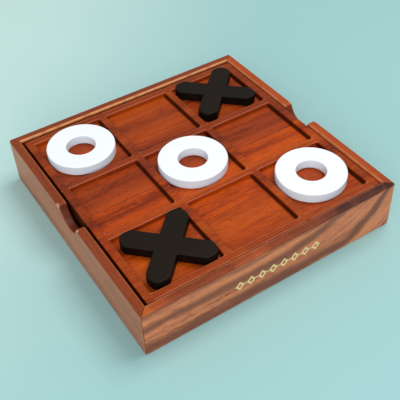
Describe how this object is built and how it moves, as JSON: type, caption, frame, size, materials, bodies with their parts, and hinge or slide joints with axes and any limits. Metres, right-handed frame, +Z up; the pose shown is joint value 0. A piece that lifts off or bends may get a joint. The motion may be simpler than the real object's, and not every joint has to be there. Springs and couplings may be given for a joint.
{
  "type": "tic tac toe set",
  "caption": "Square wooden tic tac toe set: a mitred box with a lift-out pocketed board, painted noughts and crosses, and a store for spare pieces under the board.",
  "frame": {"origin": "centre of the box's square footprint, at the level of its underside", "axes": "+Z up, +Y towards the back rail, +X towards the right rail, with the long sides of the planks along X"},
  "size_m": [0.18, 0.18, 0.0372],
  "materials": {
    "rail_front": "satin varnish",
    "rail_back": "satin varnish",
    "rail_left": "satin varnish",
    "rail_right": "satin varnish",
    "panel_wood": "satin varnish",
    "ledge_wood": "satin varnish",
    "plank_back": "satin varnish",
    "plank_second": "satin varnish",
    "plank_third": "satin varnish",
    "plank_front": "satin varnish",
    "white_paint": "satin white paint",
    "black_paint": "matt black paint"
  },
  "bodies": {
    "box": {"front_rail": "rail_front", "back_rail": "rail_back", "left_rail": "rail_left", "right_rail": "rail_right", "bottom_panel": "panel_wood", "front_ledge": "ledge_wood", "back_ledge": "ledge_wood"},
    "board": {"board_plank_back": "plank_back", "board_plank_second": "plank_second", "board_plank_third": "plank_third", "board_plank_front": "plank_front"},
    "nought_back_left": {"nought_back_left": "white_paint"},
    "nought_centre": {"nought_centre": "white_paint"},
    "nought_front_right": {"nought_front_right": "white_paint"},
    "stored_nought_left": {"stored_nought_left": "white_paint"},
    "stored_nought_right": {"stored_nought_right": "white_paint"},
    "cross_back_right": {"cross_back_right": "black_paint"},
    "cross_front_left": {"cross_front_left": "black_paint"},
    "stored_cross_middle": {"stored_cross_middle": "black_paint"},
    "stored_cross_left": {"stored_cross_left": "black_paint"},
    "stored_cross_right": {"stored_cross_right": "black_paint"}
  },
  "joints": [
    {"name": "board_lift", "type": "slide", "parent": "box", "child": "board", "axis": [0, 0, 1], "range_m": [0, 0.08]},
    {"name": "nought_back_left_lift", "type": "slide", "parent": "board", "child": "nought_back_left", "axis": [0, 0, 1], "range_m": [0, 0.04]},
    {"name": "nought_centre_lift", "type": "slide", "parent": "board", "child": "nought_centre", "axis": [0, 0, 1], "range_m": [0, 0.04]},
    {"name": "nought_front_right_lift", "type": "slide", "parent": "board", "child": "nought_front_right", "axis": [0, 0, 1], "range_m": [0, 0.04]},
    {"name": "stored_nought_left_lift", "type": "slide", "parent": "box", "child": "stored_nought_left", "axis": [0, 0, 1], "range_m": [0, 0.008]},
    {"name": "stored_nought_right_lift", "type": "slide", "parent": "box", "child": "stored_nought_right", "axis": [0, 0, 1], "range_m": [0, 0.008]},
    {"name": "cross_back_right_lift", "type": "slide", "parent": "board", "child": "cross_back_right", "axis": [0, 0, 1], "range_m": [0, 0.04]},
    {"name": "cross_front_left_lift", "type": "slide", "parent": "board", "child": "cross_front_left", "axis": [0, 0, 1], "range_m": [0, 0.04]},
    {"name": "stored_cross_middle_lift", "type": "slide", "parent": "box", "child": "stored_cross_middle", "axis": [0, 0, 1], "range_m": [0, 0.008]},
    {"name": "stored_cross_left_lift", "type": "slide", "parent": "box", "child": "stored_cross_left", "axis": [0, 0, 1], "range_m": [0, 0.008]},
    {"name": "stored_cross_right_lift", "type": "slide", "parent": "box", "child": "stored_cross_right", "axis": [0, 0, 1], "range_m": [0, 0.008]}
  ]
}
